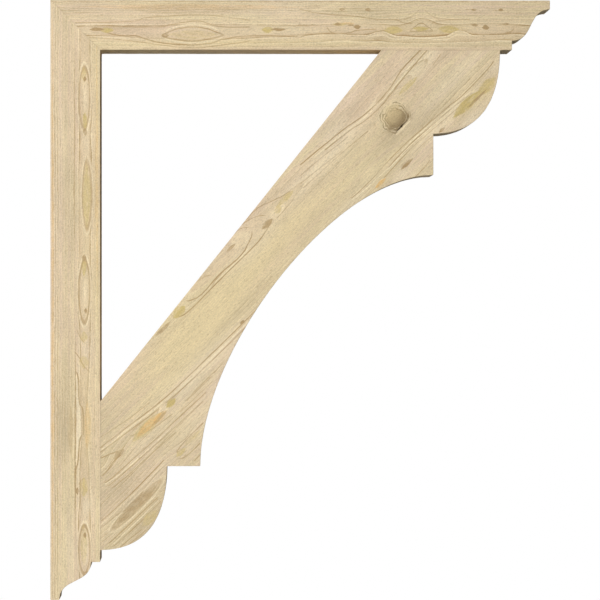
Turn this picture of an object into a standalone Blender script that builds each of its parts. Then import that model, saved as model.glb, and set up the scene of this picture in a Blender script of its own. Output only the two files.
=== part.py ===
# A timber corbel bracket, as fixed under eaves, a shelf or a worktop.
# A back leg and a top arm meet in a mitre, and a shaped diagonal brace stiffens the corner between them.
# Lengths are in metres. X points out from the wall, Y runs across the width and Z is up.
# The origin is the middle of the leg's wall face.

from math import hypot, radians

import bpy

INCH = 0.0254

# Overall sizes
HEIGHT = 24 * INCH
PROJECTION = 20 * INCH
WIDTH = 3.5 * INCH
LEG_THICKNESS = 2 * INCH
ARM_THICKNESS = 2 * INCH

# Clearance between glued faces, and the width of the flat on every eased edge
JOINT_GAP = 0.0003
ARRIS = 0.0008

# The ogee sawn on the free end of the leg and of the arm lies between a square lip and a square fillet
LIP = 0.37 * INCH
FILLET = 0.37 * INCH
OGEE_LENGTH = 1.52 * INCH

# The brace stops short of both ogees, and has a glued seat under the arm and one on the leg
BRACE_SETBACK = 0.48 * INCH
ARM_SEAT = 4.76 * INCH
LEG_SEAT = 5.95 * INCH

# The brace's outer edge has a round at each end, a square nib beside it, and a long hollow between the nibs
ROUND_WIDTH = 2.67 * INCH
ROUND_HEIGHT = 3.35 * INCH
UPPER_NIB = 1.65 * INCH
LOWER_NIB = 1.33 * INCH

# How far each curve's handles reach, as shares of the width or the height that the curve crosses
OGEE_PULL = 0.59
ROUND_PULL_DOWN = 0.63
ROUND_PULL_ACROSS = 0.68
HOLLOW_PULL_ACROSS = 0.42
HOLLOW_PULL_DOWN = 0.40

CURVE_STEPS = 24
WELD_DISTANCE = 0.00001

FIR_COLOUR = (0.67, 0.55, 0.36, 1.0)
FIR_ROUGHNESS = 0.75


def clear_scene():
    for thing in list(bpy.data.objects):
        bpy.data.objects.remove(thing)


def fir(name):
    """Bare softwood for one board."""
    material = bpy.data.materials.new(name)
    material.use_nodes = True
    shader = material.node_tree.nodes["Principled BSDF"]
    shader.inputs["Base Color"].default_value = FIR_COLOUR
    shader.inputs["Roughness"].default_value = FIR_ROUGHNESS
    shader.inputs["Metallic"].default_value = 0.0
    return material


def straight(end):
    """A straight stretch of an outline, up to end."""
    return {"end": end}


def curved(leave, arrive, end):
    """A curved stretch of an outline, up to end, with the handles that it leaves and arrives by."""
    return {"leave": leave, "arrive": arrive, "end": end}


def outline_curve(name, stretches):
    """A filled 2D curve through the stretches in turn. It starts where the last stretch ends."""
    data = bpy.data.curves.new(name, "CURVE")
    data.dimensions = "2D"
    data.fill_mode = "BOTH"
    data.resolution_u = CURVE_STEPS

    spline = data.splines.new("BEZIER")
    spline.bezier_points.add(len(stretches) - 1)
    spline.use_cyclic_u = True
    points = spline.bezier_points
    for point, stretch in zip(points, stretches):
        point.co = (*stretch["end"], 0)
    for index, stretch in enumerate(stretches):
        handle_type = "FREE" if "leave" in stretch else "VECTOR"
        points[index - 1].handle_right_type = handle_type
        points[index].handle_left_type = handle_type
    for index, stretch in enumerate(stretches):
        if "leave" in stretch:
            points[index - 1].handle_right = (*stretch["leave"], 0)
            points[index].handle_left = (*stretch["arrive"], 0)
    return data


def sawn_board(name, stretches, corner, collection, parent):
    """A board sawn to an outline in the XZ plane, measured from corner, with its long edges eased."""
    data = outline_curve(name, stretches)
    data.extrude = WIDTH / 2 - ARRIS
    data.bevel_depth = ARRIS
    data.bevel_resolution = 0
    data.offset = -ARRIS
    data.materials.append(fir(name + "_fir"))

    board = bpy.data.objects.new(name, data)
    board.location = (corner[0], 0, corner[1])
    board.rotation_euler = (radians(90), 0, 0)
    board.parent = parent
    collection.objects.link(board)

    weld = board.modifiers.new("closed_caps", "WELD")
    weld.merge_threshold = WELD_DISTANCE
    return board


def mitred_stretches(length, thickness, mate_thickness, place):
    """Outline of a board whose outer edge starts at the point of the mitre and whose far end has the ogee.
    place turns a distance along the board and one across it, from its outer edge, into (x, z)."""
    mitre_trim = JOINT_GAP / 2 * hypot(thickness, mate_thickness) / thickness
    shoulder = length - OGEE_LENGTH
    pull = OGEE_LENGTH * OGEE_PULL
    return [
        straight(place(mitre_trim, 0)),
        straight(place(length, 0)),
        straight(place(length, LIP)),
        curved(
            place(length - pull, LIP),
            place(shoulder + pull, thickness - FILLET),
            place(shoulder, thickness - FILLET),
        ),
        straight(place(shoulder, thickness)),
        straight(place(mate_thickness + mitre_trim, thickness)),
    ]


def add_back_leg(collection, parent):
    """The upright against the wall, mitred at its head and with the ogee at its foot."""
    stretches = mitred_stretches(HEIGHT, LEG_THICKNESS, ARM_THICKNESS, lambda down, out: (out, -down))
    return sawn_board("back_leg", stretches, (0, HEIGHT / 2), collection, parent)


def add_top_arm(collection, parent):
    """The level board that carries the load, mitred at the wall and with the ogee at its free end."""
    stretches = mitred_stretches(PROJECTION, ARM_THICKNESS, LEG_THICKNESS, lambda out, down: (out, -down))
    return sawn_board("top_arm", stretches, (0, HEIGHT / 2), collection, parent)


def brace_round(top, bottom):
    """A round that leaves its top going straight down and reaches its bottom running level to the wall."""
    width = top[0] - bottom[0]
    height = top[1] - bottom[1]
    leave = (top[0], top[1] - height * ROUND_PULL_DOWN)
    arrive = (bottom[0] + width * ROUND_PULL_ACROSS, bottom[1])
    return curved(leave, arrive, bottom)


def brace_hollow(top, bottom):
    """The long hollow, which leaves its top running level to the wall and ends going straight down."""
    width = top[0] - bottom[0]
    height = top[1] - bottom[1]
    leave = (top[0] - width * HOLLOW_PULL_ACROSS, top[1])
    arrive = (bottom[0], bottom[1] + height * HOLLOW_PULL_DOWN)
    return curved(leave, arrive, bottom)


def add_brace(collection, parent):
    """The diagonal, measured from the inner corner where the arm meets the leg."""
    reach = PROJECTION - LEG_THICKNESS - OGEE_LENGTH - BRACE_SETBACK
    drop = HEIGHT - ARM_THICKNESS - OGEE_LENGTH - BRACE_SETBACK

    arm_heel = (reach - ARM_SEAT, -JOINT_GAP)
    arm_toe = (reach, -JOINT_GAP)
    upper_notch = (reach - ROUND_WIDTH, -ROUND_HEIGHT)
    hollow_top = (reach - ROUND_WIDTH, -ROUND_HEIGHT - UPPER_NIB)
    hollow_foot = (ROUND_WIDTH + LOWER_NIB, -drop + ROUND_HEIGHT)
    lower_notch = (ROUND_WIDTH, -drop + ROUND_HEIGHT)
    leg_toe = (JOINT_GAP, -drop)
    leg_heel = (JOINT_GAP, -drop + LEG_SEAT)

    stretches = [
        straight(arm_heel),
        straight(arm_toe),
        brace_round(arm_toe, upper_notch),
        straight(hollow_top),
        brace_hollow(hollow_top, hollow_foot),
        straight(lower_notch),
        brace_round(lower_notch, leg_toe),
        straight(leg_heel),
    ]
    inner_corner = (LEG_THICKNESS, HEIGHT / 2 - ARM_THICKNESS)
    return sawn_board("brace", stretches, inner_corner, collection, parent)


def build_bracket():
    clear_scene()
    collection = bpy.data.collections.new("corbel_bracket")
    bpy.context.scene.collection.children.link(collection)
    bracket = bpy.data.objects.new("bracket", None)
    collection.objects.link(bracket)
    add_back_leg(collection, bracket)
    add_top_arm(collection, bracket)
    add_brace(collection, bracket)


build_bracket()
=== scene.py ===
# %% [markdown]
# A corbel bracket of rough-sawn fir. It is three boards: a back leg against the wall, a top arm
# mitred to it, and a shaped brace across the corner. The measured model gives every outline and
# size. This lesson covers each plain solid with a sawn board that has eased edges, growth rings, a
# knot and saw marks, and then lights it as in a studio.

# %% Load the measured model
from math import ceil, cos, pi, radians, sin

import bmesh
import bpy
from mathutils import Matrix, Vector
from mathutils.geometry import delaunay_2d_cdt, intersect_line_line


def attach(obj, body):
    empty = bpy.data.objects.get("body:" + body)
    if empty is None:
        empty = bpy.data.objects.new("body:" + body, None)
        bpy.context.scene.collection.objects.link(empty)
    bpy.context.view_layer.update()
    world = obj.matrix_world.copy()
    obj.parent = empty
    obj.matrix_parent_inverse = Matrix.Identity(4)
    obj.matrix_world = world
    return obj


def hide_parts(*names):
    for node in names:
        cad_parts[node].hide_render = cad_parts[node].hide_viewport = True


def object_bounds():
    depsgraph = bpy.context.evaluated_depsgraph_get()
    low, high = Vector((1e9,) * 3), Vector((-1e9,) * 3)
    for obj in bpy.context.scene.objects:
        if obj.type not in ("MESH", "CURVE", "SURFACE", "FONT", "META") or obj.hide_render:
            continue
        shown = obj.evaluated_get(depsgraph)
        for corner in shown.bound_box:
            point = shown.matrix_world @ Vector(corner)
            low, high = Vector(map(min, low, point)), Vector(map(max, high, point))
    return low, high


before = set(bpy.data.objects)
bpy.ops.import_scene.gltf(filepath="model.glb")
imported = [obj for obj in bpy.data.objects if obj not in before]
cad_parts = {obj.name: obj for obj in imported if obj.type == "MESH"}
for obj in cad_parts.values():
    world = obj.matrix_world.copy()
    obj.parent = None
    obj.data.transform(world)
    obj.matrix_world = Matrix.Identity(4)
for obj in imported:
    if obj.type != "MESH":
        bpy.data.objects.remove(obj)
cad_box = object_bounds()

print("nodes:", sorted(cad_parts))
print("CAD box:", [tuple(round(value, 4) for value in corner) for corner in cad_box])

# %% [markdown]
# The photograph looks straight at the bracket's front face, which fills its height. A feature whose
# place is listed, such as the knot, is written as a column and a row of the photograph, and one
# helper turns those into metres. Each board also gets axes of its own: along its grain, across it,
# and deep into the board from the front face.

# %% Places in the photograph, and the boards' own axes
PHOTO_HEIGHT = 600
WALL_COLUMN = 50.4
MIDDLE_ROW = 300

BRACKET_HEIGHT = cad_box[1].z - cad_box[0].z
BRACKET_WIDTH = cad_box[1].y - cad_box[0].y
PIXEL = BRACKET_HEIGHT / PHOTO_HEIGHT
MM = 0.001


def from_photo(column, row):
    """The point of the front face, as (x, z) in metres, that a pixel of the photograph shows."""
    return Vector((column - WALL_COLUMN, MIDDLE_ROW - row)) * PIXEL


def along_and_across(point, grain_angle):
    """A point (x, z) measured along the grain and across it. The grain rises by grain_angle from level."""
    x, z = point
    return x * cos(grain_angle) + z * sin(grain_angle), x * sin(grain_angle) - z * cos(grain_angle)


print("one pixel of the photograph is", round(PIXEL / MM, 3), "mm")

# %% [markdown]
# The outline of each board is read from its solid, so that the sawn board fits it exactly. The
# solid is loose triangles, so a copy is merged first. Its second row of points, just behind the
# eased front edge, is the outline.

# %% Read a board's outline
MERGE_DISTANCE = 0.00001


def outline_of(node_name):
    """The board's outline as (x, z) points in order, anticlockwise as seen from the front."""
    solid = bmesh.new()
    solid.from_mesh(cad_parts[node_name].data)
    bmesh.ops.remove_doubles(solid, verts=solid.verts, dist=MERGE_DISTANCE)
    row = sorted({round(vertex.co.y, 5) for vertex in solid.verts})[1]

    follows = {}
    for edge in solid.edges:
        if all(abs(vertex.co.y - row) < MERGE_DISTANCE for vertex in edge.verts):
            first, second = edge.verts
            follows.setdefault(first.index, []).append(second.index)
            follows.setdefault(second.index, []).append(first.index)
    walk = [min(follows)]
    while len(walk) < len(follows):
        onward = [index for index in follows[walk[-1]] if index not in walk[-2:]]
        walk.append(onward[0])
    solid.verts.ensure_lookup_table()
    points = [Vector((solid.verts[index].co.x, solid.verts[index].co.z)) for index in walk]
    solid.free()

    twice_area = sum(a.x * b.y - a.y * b.x for a, b in zip(points, points[1:] + points[:1]))
    return points if twice_area > 0 else points[::-1]


OUTLINES = {name: outline_of(name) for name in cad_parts}
for name, points in OUTLINES.items():
    print(name, "outline has", len(points), "points")

# %% [markdown]
# The solids stand a hair apart where they meet, so that they can be told apart in a simulation.
# Glue and clamps close that gap on the real bracket, so each board's joint faces are moved out to
# leave only a fine seam.

# %% Close the joints
JOINT_REACH = 0.5 * MM


def distance_to_outline(point, outline):
    """How far a point is from the nearest edge of an outline."""
    nearest = 1.0
    for start, end in zip(outline, outline[1:] + outline[:1]):
        stretch = end - start
        share = max(0.0, min(1.0, (point - start).dot(stretch) / stretch.length_squared))
        nearest = min(nearest, (start + stretch * share - point).length)
    return nearest


def distance_to_neighbours(point, neighbours):
    return min(distance_to_outline(point, outline) for outline in neighbours)


def closed_up(outline, neighbours, amount):
    """The outline with every edge that lies along a neighbour moved out by an amount."""
    count = len(outline)
    touching = [distance_to_neighbours(point, neighbours) < JOINT_REACH for point in outline]
    edges = []
    for index, start in enumerate(outline):
        onward = (index + 1) % count
        end = outline[onward]
        outward = Vector((end.y - start.y, start.x - end.x)).normalized()
        shift = outward * amount if touching[index] and touching[onward] else Vector((0.0, 0.0))
        edges.append((start + shift, end + shift))
    moved = []
    for index, edge in enumerate(edges):
        crossing = intersect_line_line(*(point.to_3d() for point in (*edges[index - 1], *edge)))
        moved.append(crossing[0].to_2d() if crossing else edge[0])
    return moved


# %% [markdown]
# A sawn board has no perfectly sharp edge. Its long edges and its corners are eased by the plane
# and by handling, but where two boards meet the edges were cut after that and stay crisp, which is
# why the mitre shows in the photograph only as a change of grain. So the ease shrinks near a
# neighbour.

# %% Ease the corners
EASE = 0.5 * MM
EASE_AT_JOINT = 0.06 * MM
EASE_GROWS_OVER = 3 * MM
CORNER_TURN = radians(25)
CORNER_STEPS = 3


def ease_at(point, neighbours):
    """How much the edge is eased at a point, given the outlines of the boards next to it."""
    gap = distance_to_neighbours(point, neighbours)
    share = max(0.0, min(1.0, (gap - JOINT_REACH) / EASE_GROWS_OVER))
    return EASE_AT_JOINT + (EASE - EASE_AT_JOINT) * share


def turn_at(before, corner, after):
    """The angle that the outline turns by at a corner, positive to the left."""
    return (corner - before).angle_signed(after - corner) * -1


# %% [markdown]
# The solid's curves are short straight steps. Between two corners the points are joined by a spline
# that passes through them all, so the new board's curves are smooth, and its points are close
# enough together to carry relief.

# %% Space points evenly round the outline
WALL_STEP = 2.6 * MM


def spline_point(before, start, end, after, share):
    """A point on the smooth curve between start and end."""
    return 0.5 * (
        2 * start
        + (end - before) * share
        + (2 * before - 5 * start + 4 * end - after) * share**2
        + (3 * start - before - 3 * end + after) * share**3
    )


def smooth_stretch(points, step):
    """Points about a step apart through a stretch that has no corner inside it, without its last point."""
    extended = [2 * points[0] - points[1], *points, 2 * points[-1] - points[-2]]
    spaced = []
    for before, start, end, after in zip(extended, extended[1:], extended[2:], extended[3:]):
        count = max(1, round((end - start).length / step))
        spaced += [spline_point(before, start, end, after, index / count) for index in range(count)]
    return spaced


def corner_reach(before, corner, after, ease):
    """How far back from an outward corner its round starts: a little more than the ease is wide."""
    half_angle = (before - corner).angle(after - corner) / 2
    return 1.15 * ease * cos(half_angle) / sin(half_angle) ** 2


def rounded_corner(before, corner, after, reach):
    """Points round a small arc that replaces an outward corner."""
    start = corner + (before - corner).normalized() * reach
    end = corner + (after - corner).normalized() * reach
    steps = [index / CORNER_STEPS for index in range(CORNER_STEPS + 1)]
    return [start * (1 - s) ** 2 + corner * 2 * s * (1 - s) + end * s**2 for s in steps]


def finished_outline(outline, neighbours):
    """The outline with eased corners and evenly spaced points, and how much the edge is eased at each."""
    count = len(outline)
    corners = [
        index
        for index in range(count)
        if abs(turn_at(outline[index - 1], outline[index], outline[(index + 1) % count])) > CORNER_TURN
    ]
    points = []
    for index, start in enumerate(corners):
        end = corners[(index + 1) % len(corners)]
        stretch = [outline[(start + offset) % count] for offset in range((end - start) % count + 1)]
        first, last = stretch[0], stretch[-1]
        before_first, after_last = outline[start - 1], outline[(end + 1) % count]
        if turn_at(before_first, first, stretch[1]) > 0:
            reach = corner_reach(before_first, first, stretch[1], ease_at(first, neighbours))
            *round_points, stretch[0] = rounded_corner(before_first, first, stretch[1], reach)
            points += round_points
        if turn_at(stretch[-2], last, after_last) > 0:
            reach = corner_reach(stretch[-2], last, after_last, ease_at(last, neighbours))
            stretch[-1] = last + (stretch[-2] - last).normalized() * reach
        points += smooth_stretch(stretch, WALL_STEP)
    return points, [ease_at(point, neighbours) for point in points]


# %% [markdown]
# The face of the board is filled with a lattice of points lined up with the grain, close together
# across it and further apart along it, because that is how growth rings vary. A constrained
# triangulation joins the lattice to the eased edge. The narrow sides are plain rows of quads
# through the board's width.

# %% Fill the face and build the sides
LATTICE_ACROSS = 1.1 * MM
LATTICE_ALONG = 2.8 * MM
LATTICE_MARGIN = 0.6 * MM
SIDE_STEP = 1.15 * MM
EASE_STEPS = 3


def moved_in(points, amounts):
    """The outline moved inwards by an amount at each point."""
    moved = []
    for index, (point, amount) in enumerate(zip(points, amounts)):
        arriving = (point - points[index - 1]).normalized()
        leaving = (points[(index + 1) % len(points)] - point).normalized()
        bisector = Vector((-arriving.y - leaving.y, arriving.x + leaving.x)).normalized()
        spread = max(0.5, bisector.dot(Vector((-leaving.y, leaving.x))))
        moved.append(point + bisector * (amount / spread))
    return moved


def lattice_inside(rim, grain_angle):
    """Points inside the rim, in rows along the grain."""
    turned = [along_and_across(point, grain_angle) for point in rim]
    edges = list(zip(turned, turned[1:] + turned[:1]))
    lowest = min(across for along, across in turned)
    highest = max(across for along, across in turned)
    row_count = round((highest - lowest) / LATTICE_ACROSS)
    step = (highest - lowest) / row_count
    inside = []
    for row in range(row_count):
        level = lowest + (row + 0.5) * step
        crossings = []
        for (along_a, across_a), (along_b, across_b) in edges:
            if (across_a > level) != (across_b > level):
                share = (level - across_a) / (across_b - across_a)
                length = Vector((along_b - along_a, across_b - across_a)).length
                margin = LATTICE_MARGIN * length / abs(across_b - across_a)
                crossings.append((along_a + (along_b - along_a) * share, margin))
        crossings.sort()
        for (entry, entry_margin), (leave, leave_margin) in zip(crossings[::2], crossings[1::2]):
            first = entry + entry_margin
            last = leave - leave_margin
            if last > first:
                count = max(1, ceil((last - first) / LATTICE_ALONG))
                inside += [(first + (last - first) * index / count, level) for index in range(count + 1)]
    cosine, sine = cos(grain_angle), sin(grain_angle)
    return [
        Vector((along * cosine + across * sine, along * sine - across * cosine))
        for along, across in inside
    ]


def board_mesh(name, outline, neighbours, grain_angle):
    """A closed mesh of one board: front face, eased edge, sides, eased edge and back face."""
    points, eases = finished_outline(outline, neighbours)
    count = len(points)
    half = BRACKET_WIDTH / 2
    widest_ease = max(eases)

    angles = [pi / 2 * (1 - step / EASE_STEPS) for step in range(EASE_STEPS + 1)]
    side_rows = round((BRACKET_WIDTH - 2 * widest_ease) / SIDE_STEP)
    rows = []
    for angle in angles:
        inset = moved_in(points, [ease * (1 - cos(angle)) for ease in eases])
        rows.append([(p.x, -half + ease * (1 - sin(angle)), p.y) for p, ease in zip(inset, eases)])
    for step in range(1, side_rows):
        share = step / side_rows
        rows.append([(p.x, (2 * share - 1) * (half - ease), p.y) for p, ease in zip(points, eases)])
    rows += [[(x, -y, z) for x, y, z in row] for row in reversed(rows[: EASE_STEPS + 1])]

    rim = moved_in(points, eases)
    filling = lattice_inside(rim, grain_angle)
    flat, _, triangles, origins, _, _ = delaunay_2d_cdt(rim + filling, [], [list(range(count))], 1, 1e-9)

    vertices = [vertex for row in rows for vertex in row]
    faces = []
    for row in range(len(rows) - 1):
        base, above = row * count, (row + 1) * count
        for index in range(count):
            onward = (index + 1) % count
            faces.append((base + index, above + index, above + onward, base + onward))

    last_row = (len(rows) - 1) * count
    front_of, back_of = {}, {}
    for index, place in enumerate(flat):
        on_rim = [origin for origin in origins[index] if origin < count]
        if on_rim:
            front_of[index] = on_rim[0]
            back_of[index] = last_row + on_rim[0]
        else:
            front_of[index] = len(vertices)
            back_of[index] = len(vertices) + 1
            vertices += [(place.x, -half, place.y), (place.x, half, place.y)]
    for triangle in triangles:
        faces.append([front_of[index] for index in triangle])
        faces.append([back_of[index] for index in reversed(triangle)])

    mesh = bpy.data.meshes.new(name)
    mesh.from_pydata(vertices, [], faces)
    room = [ease / EASE for ease in eases] * len(rows)
    room += [1.0] * (len(vertices) - len(room))
    mesh.attributes.new("relief_room", "FLOAT", "POINT").data.foreach_set("value", room)
    return mesh


# %% [markdown]
# Growth rings decide how fir looks. Each ring is a thin-walled tube round the tree's pith, pale
# where it grew in spring and brown where it grew in summer. A board is a slice through those tubes,
# so straight lines, islands and loops on its face all come from one number: how many rings out from
# the pith each point lies. Small swellings of the trunk bend that number, and those make the
# islands. A few helpers write the arithmetic as nodes.

# %% Helpers that write nodes
def feed(tree, socket, value):
    """Gives a socket a plain value, or links it to another node's output."""
    if isinstance(value, bpy.types.NodeSocket):
        tree.links.new(value, socket)
    else:
        socket.default_value = value


def add_node(tree, kind, feeds=None, **settings):
    """Adds a node, sets its options, and feeds its inputs, which are named or numbered."""
    node = tree.nodes.new(kind)
    for option, value in settings.items():
        setattr(node, option, value)
    for key, value in (feeds or {}).items():
        feed(tree, node.inputs[key], value)
    return node


def calc(tree, operation, *values, clamp=False):
    """One step of arithmetic on numbers."""
    node = add_node(tree, "ShaderNodeMath", dict(enumerate(values)), operation=operation, use_clamp=clamp)
    return node.outputs["Value"]


def vector(tree, x=0.0, y=0.0, z=0.0):
    """Three numbers as one vector."""
    return add_node(tree, "ShaderNodeCombineXYZ", {"X": x, "Y": y, "Z": z}).outputs["Vector"]


def noise(tree, place, scale, detail=2.0, roughness=0.5, distortion=0.0):
    """Smooth noise from 0 to 1 round the middle value 0.5."""
    feeds = {"Vector": place, "Scale": scale, "Detail": detail}
    feeds.update({"Roughness": roughness, "Distortion": distortion})
    node = add_node(tree, "ShaderNodeTexNoise", feeds, noise_dimensions="3D")
    return node.outputs[0]


def linear(tree, value, start, end):
    """Goes evenly from 0 to 1 as value goes from start to end."""
    feeds = {"Value": value, "From Min": start, "From Max": end}
    return add_node(tree, "ShaderNodeMapRange", feeds).outputs["Result"]


def ramp(tree, value, start, end, low=0.0, high=1.0):
    """Goes smoothly from low to high as value goes from start to end."""
    feeds = {"Value": value, "From Min": start, "From Max": end, "To Min": low, "To Max": high}
    return add_node(tree, "ShaderNodeMapRange", feeds, interpolation_type="SMOOTHSTEP").outputs["Result"]


# %% [markdown]
# Most marks on the boards are one of three shapes, each long in the grain's direction. A swelling
# is a smooth hill. A patch is a flat lens with pointed ends, for resin and stains, and for the
# knot's crack, whose near-black is painted shade. A loop is the outline of an ellipse. They are node
# groups with named inputs, used once for each place. The first two are built twice, because a
# surface's shape and its paint are separate kinds of tree.

# %% The swelling, the patch and the loop
SPOT_INPUTS = (
    "Along",
    "Across",
    "Deep",
    "Centre along",
    "Centre across",
    "Half length",
    "Half width",
    "Line share",
    "Reach",
    "Height",
)


def spot_group(tree_kind, name, shape):
    """A node group that measures a place against one spot, and gives shape's answer times its height."""
    group = bpy.data.node_groups.new(name, tree_kind)
    for label in SPOT_INPUTS:
        group.interface.new_socket(label, in_out="INPUT", socket_type="NodeSocketFloat")
    group.interface.new_socket("Value", in_out="OUTPUT", socket_type="NodeSocketFloat")
    given = group.nodes.new("NodeGroupInput").outputs
    result = group.nodes.new("NodeGroupOutput")
    off_along = calc(group, "SUBTRACT", given["Along"], given["Centre along"])
    off_across = calc(group, "SUBTRACT", given["Across"], given["Centre across"])
    length_share = calc(group, "DIVIDE", off_along, given["Half length"])
    width_share = calc(group, "DIVIDE", off_across, given["Half width"])
    depth_share = calc(group, "DIVIDE", given["Deep"], given["Reach"])
    value = shape(group, length_share, width_share, depth_share, given["Line share"])
    feed(group, result.inputs["Value"], calc(group, "MULTIPLY", value, given["Height"]))
    return group


def squared(tree, value):
    return calc(tree, "MULTIPLY", value, value)


def sum_of_squares(tree, *values):
    total = 0.0
    for value in values:
        total = calc(tree, "ADD", total, squared(tree, value))
    return total


def hill(tree, length_share, width_share, depth_share, line_share):
    """1 at the middle, and falling smoothly away on all sides."""
    total = sum_of_squares(tree, length_share, width_share, depth_share)
    return calc(tree, "EXPONENT", calc(tree, "MULTIPLY", total, -1.0))


def lens(tree, length_share, width_share, depth_share, line_share):
    """1 inside a lens with pointed ends, and 0 outside it."""
    outward = calc(tree, "ADD", squared(tree, length_share), calc(tree, "ABSOLUTE", width_share))
    outward = calc(tree, "ADD", outward, squared(tree, depth_share))
    return ramp(tree, outward, 1.15, 0.75)


def ellipse_line(tree, length_share, width_share, depth_share, line_share):
    """1 along the outline of an ellipse, where the line is thickest at the two ends, and 0 elsewhere."""
    outward = calc(tree, "SQRT", sum_of_squares(tree, length_share, width_share, depth_share))
    off_line = calc(tree, "ABSOLUTE", calc(tree, "SUBTRACT", outward, 1.0))
    return ramp(tree, calc(tree, "DIVIDE", off_line, line_share), 1.0, 0.3)


TREE_KINDS = ("GeometryNodeTree", "ShaderNodeTree")
SWELLING = {kind: spot_group(kind, "swelling", hill) for kind in TREE_KINDS}
PATCH = {kind: spot_group(kind, "patch", lens) for kind in TREE_KINDS}
LOOP = {"ShaderNodeTree": spot_group("ShaderNodeTree", "loop", ellipse_line)}
print("node groups:", [group.name for group in bpy.data.node_groups])

# %% [markdown]
# Here is what the photograph shows of each board: where its pith runs, how wide its rings are, and
# the islands, loops and stains that stand out. Places are columns and rows of the photograph, and
# sizes are millimetres. The leg has a chain of islands down its right half, which the pith passes
# close behind.

# %% The back leg's grain
def spot(column, row, half_length, half_width, height):
    """A swelling, a patch or a loop at a pixel of the photograph, with its sizes in millimetres."""
    return {"at": (column, row), "half_length": half_length, "half_width": half_width, "height": height}


def drawn(half_width, height, *points):
    """A smooth line through pixels of the photograph."""
    return {"through": points, "half_width": half_width, "height": height}


LEG = {
    "piece": "sawn_leg",
    "node": "back_leg",
    "closing": 0.12 * MM,
    "grain_angle": radians(90),
    "pith": (85, 300),
    "pith_in_front": 18,
    "ring_width": 2.1,
    "crowding": 0.0,
    "first_ring": 50.6,
    "seed": 3.0,
    "swellings": [
        spot(85, 98, 32, 9, -0.5),
        spot(87, 195, 34, 8, -0.5),
        spot(85, 291, 32, 9, -0.5),
        spot(88, 425, 50, 8, 0.35),
        spot(85, 550, 28, 9, -0.5),
    ],
    "loops": {
        "brown": [
            spot(84.5, 98, 31, 5.2, 0.55),
            spot(87, 195, 34, 4.3, 0.5),
            spot(84.5, 291.5, 31.5, 5.3, 0.6),
            spot(84.5, 549.5, 24.5, 5.2, 0.6),
        ],
        "cream": [
            spot(84.5, 98, 35, 7.0, 0.5),
            spot(87, 195, 38, 6.0, 0.4),
            spot(84.5, 291.5, 35, 7.0, 0.5),
            spot(84.5, 549.5, 28, 7.0, 0.5),
        ],
    },
    "lines": {
        "cream": [
            drawn(
                0.9, 0.5,
                (76.5, 374), (77, 398), (78, 406), (80, 412),
                (80.5, 434), (77.5, 440), (76.5, 466),
            ),
        ],
        "brown": [
            drawn(0.7, 0.6, (75, 352), (79, 357), (84, 366), (90, 372)),
            drawn(0.7, 0.5, (77, 330), (84, 342), (91, 346)),
            drawn(0.7, 0.75, (77, 372), (79, 385), (79, 397), (80, 404), (83, 410), (83.5, 435)),
            drawn(0.7, 0.75, (83.5, 435), (80, 440), (79, 450), (78, 462), (75.6, 472), (75.6, 492)),
            drawn(0.6, 0.5, (76, 492), (80, 485), (86, 477), (92, 486)),
        ],
    },
    "clearness": 0.6,
    "clear": [
        spot(86, 300, 400, 10, 0.6),
        spot(68, 300, 400, 5, -0.4),
        spot(55, 300, 400, 6, 1.2),
        spot(97, 300, 400, 4, 0.3),
        spot(88, 425, 60, 8, -0.9),
    ],
    "tones": {
        "tan": [
            spot(68, 425, 50, 11, 0.95),
            spot(66, 190, 44, 10, 0.6),
            spot(73, 228, 24, 5, 0.5),
            spot(66, 40, 40, 8, 0.35),
            spot(66, 330, 60, 6, 0.2),
            spot(54, 425, 30, 6, 0.5),
        ],
        "honey": [
            spot(88, 430, 40, 5, 0.6),
            spot(97, 250, 200, 3, 0.6),
            spot(88, 240, 260, 9, 0.45),
            spot(73, 450, 80, 4, 0.5),
        ],
        "rose": [spot(52, 300, 330, 4, 0.8), spot(60, 160, 160, 5, 0.4), spot(88, 350, 16, 7, 0.5)],
        "pale": [
            spot(78, 425, 44, 2.5, 0.8),
            spot(86, 142, 12, 6, 0.5),
            spot(86, 345, 16, 6, 0.6),
            spot(86, 505, 14, 6, 0.8),
            spot(86, 550, 20, 4, 0.4),
            spot(70, 545, 40, 6, 0.3),
        ],
    },
    "stains_and_painted_shade": {
        "olive": [
            spot(87, 195, 34, 4.2, 0.45),
            spot(85, 121, 9, 2.6, 0.6),
            spot(84, 75, 8, 2.6, 0.4),
            spot(84, 268, 9, 2.6, 0.5),
            spot(84, 337, 6, 4, 0.4),
            spot(84, 362, 7, 5, 0.3),
            spot(84, 487, 10, 4, 0.5),
            spot(84, 545, 22, 3.5, 0.3),
        ],
        "orange": [
            spot(87.5, 425, 26, 3.2, 0.28),
            spot(97, 170, 150, 1.3, 0.3),
            spot(53, 300, 320, 1.2, 0.35),
        ],
        "brown": [
            spot(71, 430, 26, 3, 0.25),
            spot(75.5, 440, 110, 0.8, 0.6),
            spot(74.5, 150, 120, 0.8, 0.4),
            spot(85, 79, 3, 1.5, 0.9),
            spot(85, 132, 4, 2.4, 0.6),
            spot(84, 258, 4, 2.2, 0.6),
            spot(86, 311, 3, 1.5, 0.9),
            spot(85, 535, 3, 1.5, 0.9),
            spot(77.5, 491, 4, 1.6, 0.8),
        ],
    },
}
print("back leg:", len(LEG["swellings"]), "swellings")

# %% [markdown]
# The arm has one long island with a diamond inside it, and small dark flecks in pairs where side
# shoots were buried.

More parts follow.
